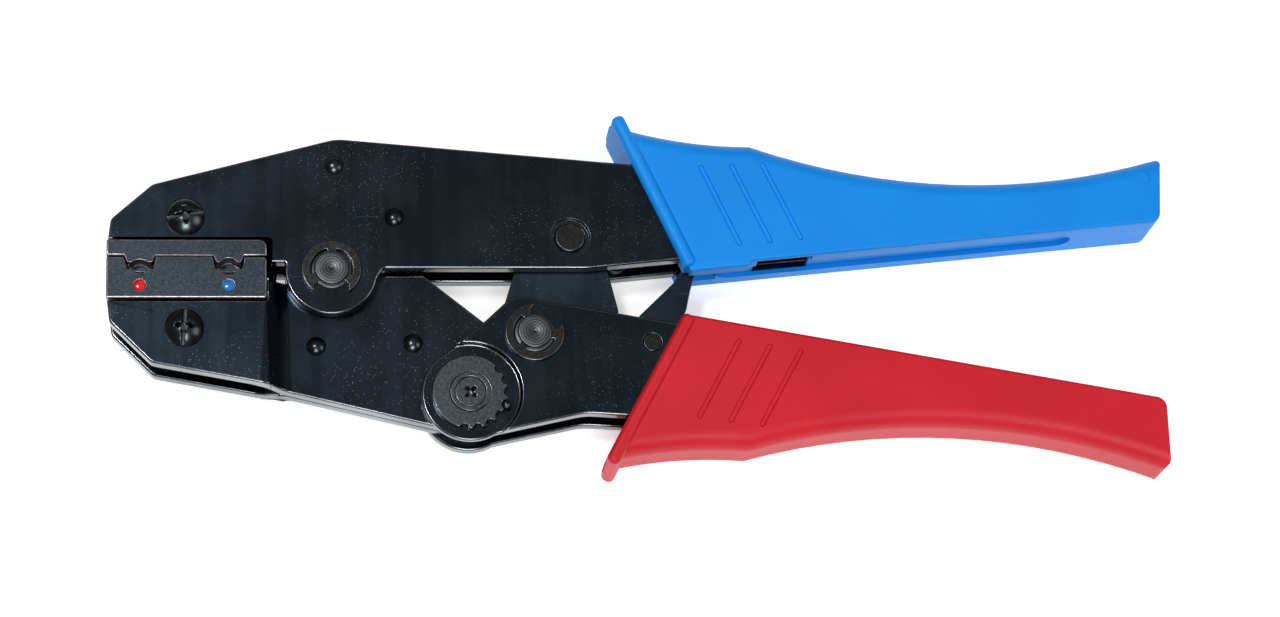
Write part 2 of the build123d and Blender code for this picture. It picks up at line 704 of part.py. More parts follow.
# ---- The whole tool ----
def build():
    """Every piece by its node name, still about the middle plane."""
    anchor = in_fixed_grip(*SPRING_ANCHOR_UV)
    pawl_anchor = in_moving_grip(*PAWL_ANCHOR_UV)
    frame_tang = in_fixed_grip(TANG_RIVET_U, TANG_RIVET_V)
    handle_tang = in_moving_grip(TANG_RIVET_U, TANG_RIVET_V)
    return {
        "upper_plate_front": frame_plate(1),
        "upper_plate_rear": frame_plate(-1),
        "upper_spacer": frame_spacer(),
        "upper_rivets": [rivet(c, FRAME_OUT) for c in FRAME_RIVETS],
        "upper_tang_spacer": tang_spacer(frame_tang),
        "upper_tang_rivet": tang_rivet(frame_tang, FRAME_OUT),
        "upper_die": upper_die(),
        "upper_die_screw": die_screw(UPPER_DIE_SCREW, UPPER_SCREW_TURN),
        "main_pivot_pin": headed_pin(MAIN, FRAME_OUT, REST_HEIGHT),
        "main_pivot_clip": retaining_clip(MAIN, FRAME_OUT, -90),
        "link_frame_pin": link_frame_pin(),
        "return_spring": extension_spring(RETURN_STUD, anchor, RETURN_COIL_R, RETURN_WIRE_R, 1.5),
        "return_spring_anchor": anchor_pin(anchor, FRAME_OUT),
        "fixed_grip": fixed_grip(),
        "lower_plate_front": jaw_plate(1),
        "lower_plate_rear": jaw_plate(-1),
        "lower_rivets": [rivet(c, CORE) for c in JAW_RIVETS],
        "lower_die": lower_die(),
        "lower_die_screw": die_screw(LOWER_DIE_SCREW, LOWER_SCREW_TURN),
        "small_size_dot": size_dot(0),
        "large_size_dot": size_dot(1),
        "handle_plate_front": handle_plate(1),
        "handle_plate_rear": handle_plate(-1),
        "handle_tang_spacer": tang_spacer(handle_tang),
        "handle_tang_rivet": tang_rivet(handle_tang, HANDLE_OUT),
        "adjuster_pin": adjuster_pin(),
        "adjuster_wheel": adjuster_wheel(),
        "adjuster_screw": adjuster_screw(),
        "adjuster_lock_screw": lock_screw(),
        "handle_link_pin": headed_pin(HANDLE_LINK, HANDLE_OUT, HANDLE_OUT + 1.6),
        "handle_link_clip": retaining_clip(HANDLE_LINK, HANDLE_OUT, 53),
        "pawl_pin": pawl_pin(),
        "pawl_spring": extension_spring(PAWL_STUD, pawl_anchor, PAWL_COIL_R, PAWL_WIRE_R, 1.0),
        "pawl_spring_anchor": anchor_pin(pawl_anchor, HANDLE_OUT),
        "moving_grip": moving_grip(),
        "toggle_link": toggle_link(),
        "ratchet_pawl": ratchet_pawl(),
    }


os.makedirs("parts", exist_ok=True)
for name, piece in build().items():
    solids = piece if isinstance(piece, list) else [piece]
    lifted = [Pos(0, 0, REST_HEIGHT) * s for solid in solids for s in solid.solids()]
    whole = lifted[0] if len(lifted) == 1 else Compound(children=lifted)
    export_step(whole, f"parts/{name}.step")
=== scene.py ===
"""Looks of the ratcheting crimp pliers: rounded plate edges, turned pins, moulded grips and finishes."""
import json
import logging
import math
from dataclasses import dataclass
from enum import Enum

import bmesh
import bpy
from mathutils import Matrix, Vector


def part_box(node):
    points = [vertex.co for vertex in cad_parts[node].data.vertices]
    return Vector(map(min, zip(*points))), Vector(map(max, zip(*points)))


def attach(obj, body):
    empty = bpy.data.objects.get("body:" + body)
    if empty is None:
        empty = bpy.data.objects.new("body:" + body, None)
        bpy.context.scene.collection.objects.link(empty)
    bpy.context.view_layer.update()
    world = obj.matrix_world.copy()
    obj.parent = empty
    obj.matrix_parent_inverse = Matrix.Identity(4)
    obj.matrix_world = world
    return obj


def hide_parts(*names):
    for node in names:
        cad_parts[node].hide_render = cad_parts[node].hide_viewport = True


LOG = logging.getLogger("crimp_pliers")
MM = 0.001

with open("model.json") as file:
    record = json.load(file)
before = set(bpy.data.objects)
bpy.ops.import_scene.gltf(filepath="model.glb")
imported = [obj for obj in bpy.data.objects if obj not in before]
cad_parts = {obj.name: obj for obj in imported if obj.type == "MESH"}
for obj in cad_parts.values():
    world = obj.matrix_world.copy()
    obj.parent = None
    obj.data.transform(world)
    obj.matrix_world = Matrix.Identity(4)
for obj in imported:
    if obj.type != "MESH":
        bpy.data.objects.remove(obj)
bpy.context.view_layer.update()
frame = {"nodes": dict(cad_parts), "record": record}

Colour = tuple[float, float, float]
Place = tuple[float, float, float]
Point = tuple[float, float]

# ---- Limits for reading the CAD meshes ----
MERGE_REACH = 2e-6  # metres between points that are one
FLAT_TURN = math.radians(0.6)  # faces that turn by less are one flat face
STEEP_RISE = 0.3  # a wall's normal rises by less than this
BEND_TURNS = (25.0, 60.0)  # least and most degrees that a plate turns at a bend


# ---- Node building ----
class Value:
    """A number in a material's node tree, with the arithmetic that the finishes use."""

    def __init__(self, sheet: "NodeSheet", socket: bpy.types.NodeSocket) -> None:
        """Keeps the socket and the tree that it belongs to."""
        self.sheet = sheet
        self.socket = socket

    def _math(self, operation: str, *terms: "Value | float") -> "Value":
        """Adds a Math node.

        Args:
            operation: The Math node's operation.
            terms: Its inputs in order.

        Returns:
            The node's result.
        """
        node = self.sheet.add("ShaderNodeMath", {"operation": operation}, dict(enumerate(terms)))
        return Value(self.sheet, node.outputs[0])

    def __add__(self, other: "Value | float") -> "Value":
        """Sum."""
        return self._math("ADD", self, other)

    def __radd__(self, other: float) -> "Value":
        """Sum with a plain number first."""
        return self._math("ADD", other, self)

    def __sub__(self, other: "Value | float") -> "Value":
        """Difference."""
        return self._math("SUBTRACT", self, other)

    def __rsub__(self, other: float) -> "Value":
        """Difference from a plain number."""
        return self._math("SUBTRACT", other, self)

    def __mul__(self, other: "Value | float") -> "Value":
        """Product."""
        return self._math("MULTIPLY", self, other)

    def __rmul__(self, other: float) -> "Value":
        """Product with a plain number first."""
        return self._math("MULTIPLY", other, self)

    def __abs__(self) -> "Value":
        """Size without sign."""
        return self._math("ABSOLUTE", self)

    def above(self, limit: float) -> "Value":
        """1 where the number is over the limit, else 0."""
        return self._math("GREATER_THAN", self, limit)

    def fade(self, start: float, end: float) -> "Value":
        """0 at start and 1 at end, smooth between them.

        Args:
            start: The number that gives 0.
            end: The number that gives 1.

        Returns:
            The faded mask.
        """
        sockets = {"Value": self, "From Min": start, "From Max": end}
        node = self.sheet.add("ShaderNodeMapRange", {"interpolation_type": "SMOOTHSTEP"}, sockets)
        return Value(self.sheet, node.outputs[0])


class NodeSheet:
    """The node tree of one material."""

    def __init__(self, name: str) -> None:
        """Starts an empty tree.

        Args:
            name: The material's name.
        """
        self.material = bpy.data.materials.new(name)
        self.material.use_nodes = True
        self.tree = self.material.node_tree
        self.tree.nodes.clear()
        self.place = self.add("ShaderNodeTexCoord").outputs["Object"]

    def add(
        self,
        kind: str,
        settings: dict[str, object] | None = None,
        sockets: dict[str | int, object] | None = None,
    ) -> bpy.types.Node:
        """Adds any node.

        Args:
            kind: The node's type.
            settings: Its properties, set first.
            sockets: Values or links of its inputs, by name or number.

        Returns:
            The new node.
        """
        node = self.tree.nodes.new(kind)
        for name, setting in (settings or {}).items():
            setattr(node, name, setting)
        for key, given in (sockets or {}).items():
            if isinstance(given, Value):
                given = given.socket
            if isinstance(given, bpy.types.NodeSocket):
                self.tree.links.new(given, node.inputs[key])
            else:
                node.inputs[key].default_value = given
        return node

    def stretched(self, scale: Place, turn: float = 0.0) -> bpy.types.NodeSocket:
        """Object coordinates stretched and turned about Z.

        Args:
            scale: Factor on each axis.
            turn: Degrees about Z.

        Returns:
            The coordinates.
        """
        sockets = {"Vector": self.place, "Scale": scale, "Rotation": (0.0, 0.0, math.radians(turn))}
        return self.add("ShaderNodeMapping", None, sockets).outputs[0]

    def noise(self, scale: float, detail: float = 2.0, at: bpy.types.NodeSocket | None = None) -> Value:
        """Soft noise, about 0.5.

        Args:
            scale: Waves per metre.
            detail: Octaves.
            at: Coordinates, the object's own unless given.

        Returns:
            The noise.
        """
        sockets = {"Vector": at or self.place, "Scale": scale, "Detail": detail}
        return Value(self, self.add("ShaderNodeTexNoise", None, sockets).outputs[0])

    def specks(self, scale: float, size: float, share: float) -> Value:
        """Scattered round specks.

        Args:
            scale: Cells per metre.
            size: A speck's radius in cells.
            share: Share of the cells with a speck.

        Returns:
            1 in a speck and 0 elsewhere.
        """
        node = self.add("ShaderNodeTexVoronoi", None, {"Vector": self.place, "Scale": scale})
        split = self.add("ShaderNodeSeparateColor", None, {"Color": node.outputs["Color"]})
        chosen = Value(self, split.outputs[0]).above(1.0 - share)
        near = 1.0 - Value(self, node.outputs["Distance"]).fade(size * 0.6, size)
        return chosen * near

    def mix(self, share: Value, first: object, second: object) -> bpy.types.NodeSocket:
        """Blends two colours.

        Args:
            share: How much of the second shows.
            first: A colour or a colour socket.
            second: A colour or a colour socket.

        Returns:
            The blended colour.
        """
        first, second = (c if isinstance(c, bpy.types.NodeSocket) else (*c, 1.0) for c in (first, second))
        sockets = {"Factor": share, 6: first, 7: second}
        return self.add("ShaderNodeMix", {"data_type": "RGBA"}, sockets).outputs[2]

    def bump(self, height: Value, strength: float, depth: float) -> bpy.types.NodeSocket:
        """A bumped normal.

        Args:
            height: The height pattern.
            strength: How strongly it shows.
            depth: Height of the pattern in metres.

        Returns:
            The normal.
        """
        sockets = {"Height": height, "Strength": strength, "Distance": depth}
        return self.add("ShaderNodeBump", None, sockets).outputs[0]

    def finish(self, sockets: dict[str, object]) -> bpy.types.Material:
        """Adds the shader and the output.

        Args:
            sockets: The Principled shader's inputs.

        Returns:
            The material.
        """
        shader = self.add("ShaderNodeBsdfPrincipled", None, sockets)
        self.add("ShaderNodeOutputMaterial", None, {"Surface": shader.outputs[0]})
        return self.material


# ---- Finishes ----
@dataclass(frozen=True)
class BlackSteel:
    """Blackened steel: blue-black skin with rolling lines, hairlines and specks of dust."""

    name: str
    dark: Colour = (0.020, 0.029, 0.039)
    light: Colour = (0.033, 0.046, 0.060)
    speck: Colour = (0.30, 0.62, 0.80)
    warm_speck: Colour = (0.75, 0.70, 0.60)
    roughness: float = 0.21
    speck_share: float = 0.26

    def material(self) -> bpy.types.Material:
        """Builds the finish.

        Returns:
            Its material.
        """
        sheet = NodeSheet(self.name)
        cloud = sheet.noise(70.0, 4.0)
        lines = sheet.noise(420.0, 3.0, sheet.stretched((1.0, 0.06, 1.0)))
        skin = sheet.mix((cloud + 0.5 * lines - 0.25).fade(0.3, 0.7), self.dark, self.light)
        hair = sheet.noise(60.0, 2.0, sheet.stretched((0.08, 1.0, 1.0), 4.0))
        hairline = 1.0 - abs(hair - 0.5).fade(0.0006, 0.0022)
        rubbed = sheet.noise(110.0, 2.0).fade(0.56, 0.68)
        scuffed = sheet.mix(hairline * rubbed * 0.15, skin, self.speck)
        dusty = sheet.noise(55.0, 3.0).fade(0.38, 0.66)
        dust = 0.34 * sheet.specks(2600.0, 0.25, self.speck_share) * dusty
        tint = sheet.mix(sheet.noise(900.0, 0.0).fade(0.40, 0.60), self.speck, self.warm_speck)
        colour = sheet.mix(dust, scuffed, tint)
        grain = sheet.noise(2600.0, 2.0)
        return sheet.finish(
            {
                "Base Color": colour,
                "Metallic": 1.0,
                "Roughness": self.roughness + 0.04 * cloud + 0.03 * lines - 0.03 + 0.4 * dust,
                "Normal": sheet.bump(grain + 0.4 * lines, 0.06, 0.00002),
            }
        )


@dataclass(frozen=True)
class RubbedEdge:
    """A blackened edge rubbed bright."""

    name: str
    dark: Colour = (0.10, 0.11, 0.12)
    light: Colour = (0.19, 0.20, 0.215)
    roughness: float = 0.13

    def material(self) -> bpy.types.Material:
        """Builds the finish.

        Returns:
            Its material.
        """
        sheet = NodeSheet(self.name)
        wear = sheet.noise(90.0, 3.0)
        fine = sheet.noise(1500.0, 2.0)
        colour = sheet.mix((0.9 * wear + 0.1 * fine).fade(0.35, 0.65), self.dark, self.light)
        return sheet.finish(
            {
                "Base Color": colour,
                "Metallic": 1.0,
                "Roughness": self.roughness + 0.10 * fine,
                "Normal": sheet.bump(fine, 0.03, 0.00002),
            }
        )


@dataclass(frozen=True)
class SatinSteel:
    """Ground steel with a satin, finely pitted face."""

    name: str
    dark: Colour
    light: Colour
    roughness: float = 0.42
    grain: float = 2200.0
    depth: float = 0.00004

    def material(self) -> bpy.types.Material:
        """Builds the finish.

        Returns:
            Its material.
        """
        sheet = NodeSheet(self.name)
        pits = sheet.noise(self.grain, 3.0)
        cloud = sheet.noise(150.0, 3.0)
        tone = (0.85 * pits + 0.15 * cloud).fade(0.36, 0.64)
        return sheet.finish(
            {
                "Base Color": sheet.mix(tone, self.dark, self.light),
                "Metallic": 1.0,
                "Roughness": self.roughness + 0.16 * pits - 0.05,
                "Normal": sheet.bump(pits, 0.25, self.depth),
            }
        )


@dataclass(frozen=True)
class TurnedSteel:
    """Dark steel turned on a lathe, with fine rings about its own axis."""

    name: str
    centre: Point
    dark: Colour = (0.045, 0.050, 0.054)
    light: Colour = (0.105, 0.115, 0.120)
    ring_scale: float = 533.33

    def material(self) -> bpy.types.Material:
        """Builds the finish.

        Returns:
            Its material.
        """
        sheet = NodeSheet(self.name)
        to_axis = {"Vector": sheet.place, "Location": (-self.centre[0], -self.centre[1], 0.0)}
        about_axis = sheet.add("ShaderNodeMapping", None, to_axis).outputs[0]
        rings = sheet.add(
            "ShaderNodeTexWave",
            {"wave_type": "RINGS", "rings_direction": "Z"},
            {"Vector": about_axis, "Scale": self.ring_scale, "Distortion": 0.4, "Detail": 2.0},
        )
        groove = Value(sheet, rings.outputs[1])
        fine = sheet.noise(1800.0, 2.0)
        tone = (0.55 * groove + 0.45 * fine).fade(0.2, 0.8)
        return sheet.finish(
            {
                "Base Color": sheet.mix(tone, self.dark, self.light),
                "Metallic": 1.0,
                "Roughness": 0.34 + 0.12 * fine,
                "Normal": sheet.bump(groove, 0.12, 0.00001),
            }
        )


@dataclass(frozen=True)
class MouldedPlastic:
    """Moulded plastic with a spark-eroded grain, scuffs and rubbed spots."""

    name: str
    colour: Colour
    deep: Colour
    pale: Colour
    roughness: float = 0.36

    def material(self) -> bpy.types.Material:
        """Builds the finish.

        Returns:
            Its material.
        """
        sheet = NodeSheet(self.name)
        cloud = sheet.noise(55.0, 3.0)
        grain = sheet.noise(1500.0, 3.0)
        base = sheet.mix(cloud.fade(0.30, 0.70), self.deep, self.colour)
        scuff = sheet.noise(60.0, 3.0, sheet.stretched((0.10, 1.0, 1.0), 8.0))
        hairline = 1.0 - abs(scuff - 0.5).fade(0.0008, 0.003)
        patches = sheet.noise(90.0, 2.0).fade(0.55, 0.70)
        marked = sheet.mix(hairline * patches * 0.08, base, self.pale)
        nicks = sheet.specks(900.0, 0.16, 0.03)
        colour = sheet.mix(nicks * 0.25, marked, self.pale)
        return sheet.finish(
            {
                "Base Color": colour,
                "Roughness": self.roughness + 0.14 * grain + 0.08 * cloud - 0.08,
                "IOR": 1.45,
                "Specular IOR Level": 0.30,
                "Normal": sheet.bump(grain + 0.5 * cloud, 0.35, 0.00007),
            }
        )


@dataclass(frozen=True)
class Enamel:
    """A drop of glossy enamel."""

    name: str
    colour: Colour

    def material(self) -> bpy.types.Material:
        """Builds the finish.

        Returns:
            Its material.
        """
        sheet = NodeSheet(self.name)
        cloud = sheet.noise(900.0, 2.0)
        darker = tuple(0.6 * c for c in self.colour)
        return sheet.finish(
            {
                "Base Color": sheet.mix(cloud.fade(0.3, 0.6), darker, self.colour),
                "Roughness": 0.10 + 0.06 * cloud,
                "Coat Weight": 0.6,
                "Normal": sheet.bump(cloud, 0.1, 0.00002),
            }
        )


class Finish(Enum):
    """The finishes of the tool."""

    PLATE = BlackSteel("black_plate")
    CORE = BlackSteel("black_core", roughness=0.34, speck_share=0.04)
    SCREW = BlackSteel(
        "black_screw", (0.030, 0.038, 0.040), (0.060, 0.072, 0.072), roughness=0.24, speck_share=0.02
    )
    EDGE = RubbedEdge("rubbed_edge")
    SOFT_EDGE = RubbedEdge("dull_edge", (0.035, 0.042, 0.050), (0.085, 0.095, 0.105), 0.26)
    DIE = SatinSteel("satin_die", (0.022, 0.030, 0.037), (0.046, 0.056, 0.066), 0.40, 3000.0)
    DIE_EDGE = SatinSteel("die_edge", (0.20, 0.19, 0.20), (0.36, 0.34, 0.35), 0.28, 1800.0, 0.00001)
    WHEEL = SatinSteel("adjuster_black", (0.044, 0.054, 0.063), (0.074, 0.088, 0.100), 0.33, 1800.0, 0.00002)
    PIN = SatinSteel("pin_black", (0.034, 0.034, 0.036), (0.048, 0.047, 0.048), 0.26, 1400.0, 0.00001)
    CLIP_EDGE = RubbedEdge("clip_edge", (0.10, 0.10, 0.11), (0.20, 0.20, 0.21), 0.20)
    SPRING = SatinSteel("spring_wire", (0.12, 0.12, 0.13), (0.26, 0.26, 0.27), 0.24)
    BLUE = MouldedPlastic(
        "blue_plastic", (0.001, 0.245, 0.76), (0.001, 0.225, 0.72), (0.12, 0.42, 0.86), 0.46
    )
    RED = MouldedPlastic(
        "red_plastic", (0.56, 0.011, 0.024), (0.51, 0.009, 0.020), (0.80, 0.14, 0.16), 0.42
    )
    RED_DOT = Enamel("red_enamel", (0.62, 0.010, 0.012))
    BLUE_DOT = Enamel("blue_enamel", (0.015, 0.16, 0.50))


class Paints:
    """Makes each finish once and hands out its material."""

    def __init__(self) -> None:
        """Starts with no material made."""
        self.made: dict[str, bpy.types.Material] = {}

    def of(self, finish: "Finish | TurnedSteel") -> bpy.types.Material:
        """Makes a finish's material the first time that it is asked for.

        Args:
            finish: The finish.

        Returns:
            Its material.
        """
        maker = finish.value if isinstance(finish, Finish) else finish
        if maker.name not in self.made:
            self.made[maker.name] = maker.material()
        return self.made[maker.name]


PAINTS = Paints()


# ---- Mesh helpers ----
def prism(outline: list[Point], low: float, high: float) -> bmesh.types.BMesh:
    """A closed outline extruded along Z.

    Args:
        outline: Its points, in order.
        low: Where it starts.
        high: Where it ends.

    Returns:
        The closed mesh.
    """
    bm = bmesh.new()
    face = bm.faces.new([bm.verts.new((x, y, low)) for x, y in outline])
    risen = bmesh.ops.extrude_face_region(bm, geom=[face])["geom"]
    moved = [v for v in risen if isinstance(v, bmesh.types.BMVert)]
    bmesh.ops.translate(bm, verts=moved, vec=(0.0, 0.0, high - low))
    bmesh.ops.recalc_face_normals(bm, faces=bm.faces)
    return bm


def bevel(
    bm: bmesh.types.BMesh,
    edges: list[bmesh.types.BMEdge],
    radius: float,
    rows: int,
    material: int = -1,
) -> None:
    """Rounds some edges.

    Args:
        bm: The mesh.
        edges: The edges to round.
        radius: The rounding's radius.
        rows: Rows of faces across it.
        material: Material slot of the new faces, or -1 for that of their neighbours.
    """
    bmesh.ops.bevel(
        bm,
        geom=edges,
        offset=radius,
        offset_type="OFFSET",
        affect="EDGES",
        segments=rows,
        profile=0.5,
        material=material,
        clamp_overlap=False,
        miter_outer="ARC",
    )


def arc_through(start: Vector, middle: Vector, end: Vector, steps: int) -> list[Point]:
    """Points of the arc through three points, without its last point.

    Args:
        start: Where it starts.
        middle: A point on it.
        end: Where it ends.
        steps: How many points.

    Returns:
        The points.
    """
    a, b, c = start, middle, end
    d = 2 * (a.x * (b.y - c.y) + b.x * (c.y - a.y) + c.x * (a.y - b.y))
    squares = [p.length_squared for p in (a, b, c)]
    x = (squares[0] * (b.y - c.y) + squares[1] * (c.y - a.y) + squares[2] * (a.y - b.y)) / d
    y = (squares[0] * (c.x - b.x) + squares[1] * (a.x - c.x) + squares[2] * (b.x - a.x)) / d
    centre = Vector((x, y))
    radius = (a - centre).length
    first = math.atan2(a.y - y, a.x - x)
    sweep = math.atan2(c.y - y, c.x - x) - first
    sweep = (sweep + math.pi) % (2 * math.pi) - math.pi
    angles = [first + sweep * k / steps for k in range(steps)]
    return [(x + radius * math.cos(t), y + radius * math.sin(t)) for t in angles]


def stadium(length: float, width: float, steps: int = 8) -> list[Point]:
    """A long outline with round ends about the origin, along X.

    Args:
        length: Its whole length.
        width: Its width.
        steps: Points of each round end.

    Returns:
        Its points in order.
    """
    r = width / 2
    points = []
    for side in (1, -1):
        for k in range(steps + 1):
            t = math.radians(-90 + 180 * k / steps)
            points.append((side * (length / 2 - r + r * math.cos(t)), side * r * math.sin(t)))
    return points


def rectangle(left: float, right: float, half: float) -> list[Point]:
    """Corners of a rectangle from left to right, with half its height on each side of 0."""
    return [(left, -half), (right, -half), (right, half), (left, half)]


def make_piece(bm: bmesh.types.BMesh, name: str, finish: "Finish | TurnedSteel") -> bpy.types.Object:
    """Turns a finished mesh into a piece.

    Args:
        bm: The mesh, in metres and in place.
        name: The piece's name.
        finish: Its finish.

    Returns:
        The piece, at the origin.
    """
    mesh = bpy.data.meshes.new(name)
    bm.to_mesh(mesh)
    bm.free()
    mesh.materials.append(PAINTS.of(finish))
    mesh.shade_smooth()
    piece = bpy.data.objects.new(name, mesh)
    bpy.context.scene.collection.objects.link(piece)
    return piece


def even_shading(piece: bpy.types.Object) -> None:
    """Lets a piece's large faces look flat and its small ones round."""
    even = piece.modifiers.new("even_shading", "WEIGHTED_NORMAL")
    even.weight = 80


def combine(base: bmesh.types.BMesh, tools: list[tuple[str, bmesh.types.BMesh]]) -> bmesh.types.BMesh:
    """Joins and cuts solids.

    Args:
        base: The solid that is worked on.
        tools: For each tool UNION, DIFFERENCE or INTERSECT, and its mesh.

    Returns:
        The worked solid.
    """
    made = []
    for bm in [base] + [tool for _, tool in tools]:
        mesh = bpy.data.meshes.new("tool")
        bm.to_mesh(mesh)
        bm.free()
        made.append(bpy.data.objects.new("tool", mesh))
        bpy.context.scene.collection.objects.link(made[-1])
    for (operation, _), tool in zip(tools, made[1:]):
        step = made[0].modifiers.new("step", "BOOLEAN")
        step.operation = operation
        step.solver = "EXACT"
        step.object = tool
    bpy.context.view_layer.update()
    whole = made[0].evaluated_get(bpy.context.evaluated_depsgraph_get())
    result = bmesh.new()
    result.from_mesh(whole.to_mesh())
    whole.to_mesh_clear()
    for obj in made:
        mesh = obj.data
        bpy.data.objects.remove(obj)
        bpy.data.meshes.remove(mesh)
    return result


# ---- Pieces that take their shape from the CAD nodes ----
@dataclass(frozen=True)
class EdgeWork:
    """How sharp edges are rounded: radius in mm, rows of faces, and the least angle in degrees.

    The inner radius is that of holes and recesses where they have a finish of their own.
    """

    radius: float
    rows: int = 3
    sharper_than: float = 32.0
    inner_radius: float = 0.18


@dataclass(frozen=True)
class Dressing:
    """A node's finish, that of its outer and inner edges, the rounding, and the record's slot.

    Without an inner finish, the edges of holes and recesses take that of the outer edges.
    """

    finish: Finish
    edge: Finish
    work: EdgeWork
    slot: str
    inner: Finish | None = None


def body_of_node(name: str) -> str:
    """The body that a CAD node belongs to."""
    bodies = frame["record"]["behaviour"]["bodies"]
    return next(body for body, nodes in bodies.items() if name in nodes)


def keep_node(name: str, finish: Finish) -> None:
    """Leaves a round CAD node as it is and gives it its finish.

    Args:
        name: The CAD node.
        finish: Its finish.
    """
    node = frame["nodes"][name]
    node.data.materials.clear()
    node.data.materials.append(PAINTS.of(finish))
    LOG.info("%s keeps its CAD shape, finish %s", name, finish.name)


def stand_for(piece: bpy.types.Object, node: str, slot: str) -> None:
    """Puts a finished piece in a CAD node's place.

    Args:
        piece: The piece.
        node: The CAD node.
        slot: The record's slot of its main finish.
    """
    even_shading(piece)
    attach(piece, body_of_node(node))
    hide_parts(node)
    LOG.info("%s stands for %s, slot %s", piece.name, node, slot)


def merged_copy(name: str) -> bmesh.types.BMesh:
    """Copies a CAD node's mesh, merged, with its flat faces whole.

    Args:
        name: The CAD node.

    Returns:
        The mesh.
    """
    bm = bmesh.new()
    bm.from_mesh(frame["nodes"][name].data)
    bmesh.ops.remove_doubles(bm, verts=bm.verts, dist=MERGE_REACH)
    bmesh.ops.dissolve_limit(bm, angle_limit=FLAT_TURN, verts=bm.verts, edges=bm.edges)
    return bm


def sharp_edges(bm: bmesh.types.BMesh, degrees: float) -> list[bmesh.types.BMEdge]:
    """The edges whose faces turn by more than an angle."""
    turn = math.radians(degrees)
    return [e for e in bm.edges if len(e.link_faces) == 2 and e.calc_face_angle(0.0) > turn]


def is_steep(face: bmesh.types.BMFace) -> bool:
    """Whether a face is a wall along the thickness."""
    return abs(face.normal.z) < STEEP_RISE


def outer_walls(bm: bmesh.types.BMesh) -> set[bmesh.types.BMFace]:
    """Finds the walls that go round the outside, without those of holes and recesses.

    Args:
        bm: The mesh of a plate or block.

    Returns:
        The walls' faces.
    """
    steep = [face for face in bm.faces if is_steep(face)]
    reached = {min(steep, key=lambda face: min(v.co.x for v in face.verts))}
    waiting = list(reached)
    while waiting:
        for edge in waiting.pop().edges:
            fresh = [f for f in edge.link_faces if is_steep(f) and f not in reached]
            reached.update(fresh)
            waiting.extend(fresh)
    return reached


def ease_edges(name: str, dressing: Dressing, bends: float = 0.0) -> None:
    """Makes the piece that stands for a CAD node, with its edges rounded.

    Args:
        name: The CAD node.
        dressing: Its finish and its rounding.
        bends: Radius in mm of the bends across the plate, none if 0.
    """
    bm = merged_copy(name)
    work = dressing.work
    if bends:
        across = [e for e in sharp_edges(bm, BEND_TURNS[0]) if is_bend(e)]
        bevel(bm, across, bends * MM, 6)
    walls = outer_walls(bm)
    for face in bm.faces:
        face.material_index = (1 if face in walls else 2) if is_steep(face) else 0
    if dressing.inner:
        outer = {v for face in walls for v in face.verts}
        inner = [e for e in sharp_edges(bm, work.sharper_than) if outer.isdisjoint(e.verts)]
        bevel(bm, inner, work.inner_radius * MM, work.rows, 2)
    bevel(bm, sharp_edges(bm, work.sharper_than), work.radius * MM, work.rows, 1)
    piece = make_piece(bm, name + "_eased", dressing.finish)
    piece.data.materials.append(PAINTS.of(dressing.edge))
    piece.data.materials.append(PAINTS.of(dressing.inner or dressing.edge))
    stand_for(piece, name, dressing.slot)


def is_bend(edge: bmesh.types.BMEdge) -> bool:
    """Tells a bend across a plate from its other edges.

    Args:
        edge: An edge of the plate.

    Returns:
        Whether it runs along Y between two faces that aren't side walls.
    """
    along = (edge.verts[1].co - edge.verts[0].co).normalized()
    walls = [abs(face.normal.y) for face in edge.link_faces]
    shallow = edge.calc_face_angle(0.0) < math.radians(BEND_TURNS[1])
    return abs(along.y) > 0.99 and max(walls) < 0.1 and shallow


